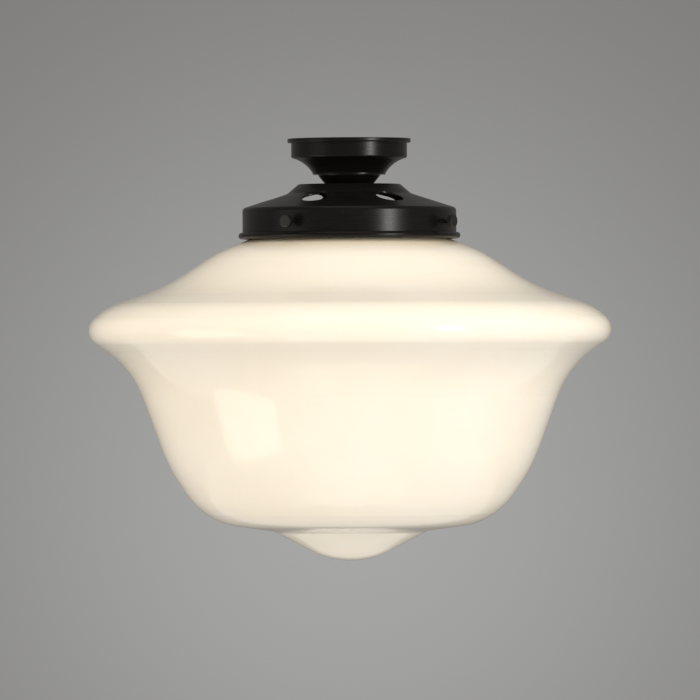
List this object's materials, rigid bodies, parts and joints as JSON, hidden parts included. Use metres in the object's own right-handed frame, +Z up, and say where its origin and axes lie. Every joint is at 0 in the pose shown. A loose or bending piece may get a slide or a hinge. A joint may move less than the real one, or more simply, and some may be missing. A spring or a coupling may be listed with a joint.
{
  "type": "semi flush ceiling light",
  "caption": "Semi flush ceiling light: black stepped canopy and slip-fitter holder with thumbscrews over a flared opal glass schoolhouse shade with a bulb inside.",
  "frame": {"origin": "centre of the two box-screw slots, on the light's axis at the ceiling plane", "axes": "+Z up into the ceiling along the light's axis, +X along the crossbar, the picture is taken from -Y"},
  "size_m": [0.3976, 0.3976, 0.3206],
  "materials": {
    "black_metal": "satin black paint on spun steel",
    "black_steel": "blackened steel",
    "opal_glass": "glossy blown opal glass",
    "zinc_steel": "zinc-plated steel",
    "green_screw": "green-dyed steel",
    "porcelain": "white glaze",
    "brass": "plain brass",
    "nickel": "nickel plate",
    "black_insulation": "black wire insulation",
    "white_insulation": "white wire insulation",
    "connector_plastic": "orange moulded plastic",
    "vitrite": "black glass insulator",
    "bulb_plastic": "white moulded plastic",
    "diffuser": "frosted diffuser"
  },
  "bodies": {
    "root": {"canopy": "black_metal", "neck": "black_metal", "shade_holder": "black_metal", "mounting_crossbar": "zinc_steel", "threaded_nipple": "zinc_steel", "crossbar_locknut": "zinc_steel", "canopy_washer": "zinc_steel", "canopy_nut": "zinc_steel", "holder_washer": "zinc_steel", "holder_nut": "zinc_steel", "lampholder_bracket": "zinc_steel", "bracket_nut": "zinc_steel", "ground_screw": "green_screw", "lampholder_body": "porcelain", "lampholder_screw_shell": "brass", "lampholder_centre_contact": "brass", "bracket_screw_left": "zinc_steel", "bracket_screw_right": "zinc_steel", "terminal_black": "brass", "terminal_white": "nickel", "terminal_screw_black": "brass", "terminal_screw_white": "nickel", "lead_black": "black_insulation", "lead_white": "white_insulation", "wire_connector_black": "connector_plastic", "wire_connector_white": "connector_plastic", "thumbscrew_boss_1": "black_metal", "thumbscrew_boss_2": "black_metal", "thumbscrew_boss_3": "black_metal", "thumbscrew_boss_4": "black_metal"},
    "shade": {"glass_shade": "opal_glass"},
    "bulb_contact": {"bulb_eyelet": "nickel", "bulb_insulator": "vitrite"},
    "bulb": {"bulb_screw_base": "nickel", "bulb_housing": "bulb_plastic", "bulb_diffuser": "diffuser"},
    "thumbscrew_1_slide": {"thumbscrew_1_shank": "black_steel"},
    "thumbscrew_1_knob": {"thumbscrew_1_head": "black_steel"},
    "thumbscrew_2_slide": {"thumbscrew_2_shank": "black_steel"},
    "thumbscrew_2_knob": {"thumbscrew_2_head": "black_steel"},
    "thumbscrew_3_slide": {"thumbscrew_3_shank": "black_steel"},
    "thumbscrew_3_knob": {"thumbscrew_3_head": "black_steel"},
    "thumbscrew_4_slide": {"thumbscrew_4_shank": "black_steel"},
    "thumbscrew_4_knob": {"thumbscrew_4_head": "black_steel"}
  },
  "joints": [
    {"name": "shade_lift", "type": "slide", "parent": "root", "child": "shade", "axis": [0, 0, 1], "range_m": [0, 0.0012]},
    {"name": "bulb_slide", "type": "slide", "parent": "root", "child": "bulb_contact", "axis": [0, 0, -1], "range_m": [0, 0.0183]},
    {"name": "bulb_turn", "type": "hinge", "parent": "bulb_contact", "child": "bulb", "pos_m": [0, 0, -0.09], "axis": [0, 0, -1], "range_deg": [0, 1800]},
    {"name": "thumbscrew_1_travel", "type": "slide", "parent": "root", "child": "thumbscrew_1_slide", "axis": [0.5225, 0.8526, 0], "range_m": [0, 0.00476]},
    {"name": "thumbscrew_1_turn", "type": "hinge", "parent": "thumbscrew_1_slide", "child": "thumbscrew_1_knob", "pos_m": [0.04755, 0.07759, -0.0635], "axis": [0.5225, 0.8526, 0], "range_deg": [0, 2160]},
    {"name": "thumbscrew_2_travel", "type": "slide", "parent": "root", "child": "thumbscrew_2_slide", "axis": [-0.8526, 0.5225, 0], "range_m": [0, 0.00476]},
    {"name": "thumbscrew_2_turn", "type": "hinge", "parent": "thumbscrew_2_slide", "child": "thumbscrew_2_knob", "pos_m": [-0.07759, 0.04755, -0.0635], "axis": [-0.8526, 0.5225, 0], "range_deg": [0, 2160]},
    {"name": "thumbscrew_3_travel", "type": "slide", "parent": "root", "child": "thumbscrew_3_slide", "axis": [-0.5225, -0.8526, 0], "range_m": [0, 0.00476]},
    {"name": "thumbscrew_3_turn", "type": "hinge", "parent": "thumbscrew_3_slide", "child": "thumbscrew_3_knob", "pos_m": [-0.04755, -0.07759, -0.0635], "axis": [-0.5225, -0.8526, 0], "range_deg": [0, 2160]},
    {"name": "thumbscrew_4_travel", "type": "slide", "parent": "root", "child": "thumbscrew_4_slide", "axis": [0.8526, -0.5225, 0], "range_m": [0, 0.00476]},
    {"name": "thumbscrew_4_turn", "type": "hinge", "parent": "thumbscrew_4_slide", "child": "thumbscrew_4_knob", "pos_m": [0.07759, -0.04755, -0.0635], "axis": [0.8526, -0.5225, 0], "range_deg": [0, 2160]}
  ],
  "couplings": [
    {"joint": "bulb_slide", "follows": "bulb_turn", "m_per_rad": 0.00057773},
    {"joint": "thumbscrew_1_turn", "follows": "thumbscrew_1_travel", "rad_per_m": 7915.8},
    {"joint": "thumbscrew_2_turn", "follows": "thumbscrew_2_travel", "rad_per_m": 7915.8},
    {"joint": "thumbscrew_3_turn", "follows": "thumbscrew_3_travel", "rad_per_m": 7915.8},
    {"joint": "thumbscrew_4_turn", "follows": "thumbscrew_4_travel", "rad_per_m": 7915.8}
  ]
}
